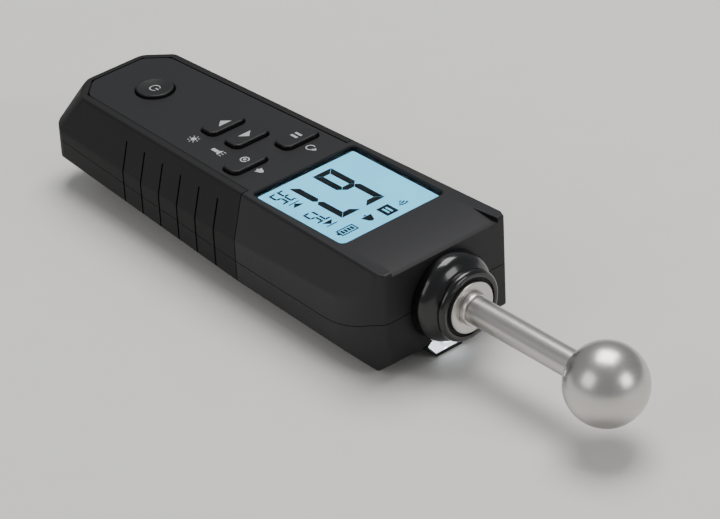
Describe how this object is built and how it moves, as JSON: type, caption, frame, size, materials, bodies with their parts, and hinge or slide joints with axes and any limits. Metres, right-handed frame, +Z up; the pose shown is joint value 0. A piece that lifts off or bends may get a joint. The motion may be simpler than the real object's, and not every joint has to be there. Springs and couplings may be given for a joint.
{
  "type": "moisture meter",
  "caption": "Hand-held capacitive moisture meter with ball probe, backlit display, rubber grip, keys, probe lamp and battery door",
  "frame": {"origin": "centre of the bounding box's bottom face, on the flat back", "axes": "+X forward along the probe, +Y to the left, +Z up out of the display"},
  "size_m": [0.221, 0.0504, 0.0336],
  "materials": {
    "housing_plastic": "satin charcoal",
    "grip_rubber": "matte black",
    "key_rubber": "matte black",
    "window_clear": "clear",
    "lcd_glass": "lit pale blue",
    "diffuser_white": "white",
    "seal_rubber": "black",
    "board_green": "solder resist",
    "chip_black": "moulded",
    "shield_metal": "plain",
    "cell_sleeve": "satin",
    "contact_metal": "bright",
    "lead_red": "red",
    "lead_black": "black",
    "foam_grey": "open foam",
    "boss_black": "polished black",
    "probe_steel": "satin stainless",
    "fastener_steel": "zinc plated",
    "insert_brass": "knurled",
    "reflector_chrome": "bright"
  },
  "bodies": {
    "casing": {"upper_housing": "housing_plastic", "lower_housing": "housing_plastic", "grip_upper": "grip_rubber", "grip_lower": "grip_rubber", "display_window": "window_clear", "lamp_lens": "window_clear", "lcd_panel": "lcd_glass", "lcd_backlight": "diffuser_white", "lcd_bezel": "diffuser_white", "lamp_led": "diffuser_white", "elastomer_strips": "seal_rubber", "boss_seal": "seal_rubber", "battery_snap": "seal_rubber", "main_board": "board_green", "lamp_board": "board_green", "board_chips": "chip_black", "piezo_buzzer": "chip_black", "radio_module": "shield_metal", "power_dome": "shield_metal", "down_dome": "shield_metal", "up_dome": "shield_metal", "set_dome": "shield_metal", "hold_dome": "shield_metal", "battery": "cell_sleeve", "battery_terminals": "contact_metal", "solder_lug": "contact_metal", "red_lead": "lead_red", "probe_lead": "lead_red", "black_lead": "lead_black", "lamp_leads": "lead_black", "probe_boss": "boss_black", "insulating_ring": "boss_black", "probe_washer": "boss_black", "probe_disc": "probe_steel", "root_collar": "probe_steel", "probe_shaft": "probe_steel", "probe_ball": "probe_steel", "probe_nut": "fastener_steel", "housing_screws": "fastener_steel", "board_screws": "fastener_steel", "brass_inserts": "insert_brass", "lamp_reflector": "reflector_chrome"},
    "power": {"power_button": "key_rubber"},
    "down": {"down_key": "key_rubber"},
    "up": {"up_key": "key_rubber"},
    "set": {"set_key": "key_rubber"},
    "hold": {"hold_key": "key_rubber"},
    "door": {"battery_door": "housing_plastic", "door_foam": "foam_grey"}
  },
  "joints": [
    {"name": "power_press", "type": "slide", "parent": "casing", "child": "power", "axis": [0.0151, 0, -0.9999], "range_m": [0, 0.0008], "stiffness_N_per_m": 1500, "springref_m": -0.0004, "deforming": ["power_dome"]},
    {"name": "down_press", "type": "slide", "parent": "casing", "child": "down", "axis": [0.0151, 0, -0.9999], "range_m": [0, 0.0008], "stiffness_N_per_m": 1500, "springref_m": -0.0004, "deforming": ["down_dome"]},
    {"name": "up_press", "type": "slide", "parent": "casing", "child": "up", "axis": [0.0151, 0, -0.9999], "range_m": [0, 0.0008], "stiffness_N_per_m": 1500, "springref_m": -0.0004, "deforming": ["up_dome"]},
    {"name": "set_press", "type": "slide", "parent": "casing", "child": "set", "axis": [0.0151, 0, -0.9999], "range_m": [0, 0.0008], "stiffness_N_per_m": 1500, "springref_m": -0.0004, "deforming": ["set_dome"]},
    {"name": "hold_press", "type": "slide", "parent": "casing", "child": "hold", "axis": [0.0151, 0, -0.9999], "range_m": [0, 0.0008], "stiffness_N_per_m": 1500, "springref_m": -0.0004, "deforming": ["hold_dome"]},
    {"name": "door_hinge", "type": "hinge", "parent": "casing", "child": "door", "pos_m": [-0.046, 0, 0.0024], "axis": [0, -1, 0], "range_deg": [0, 85]}
  ]
}
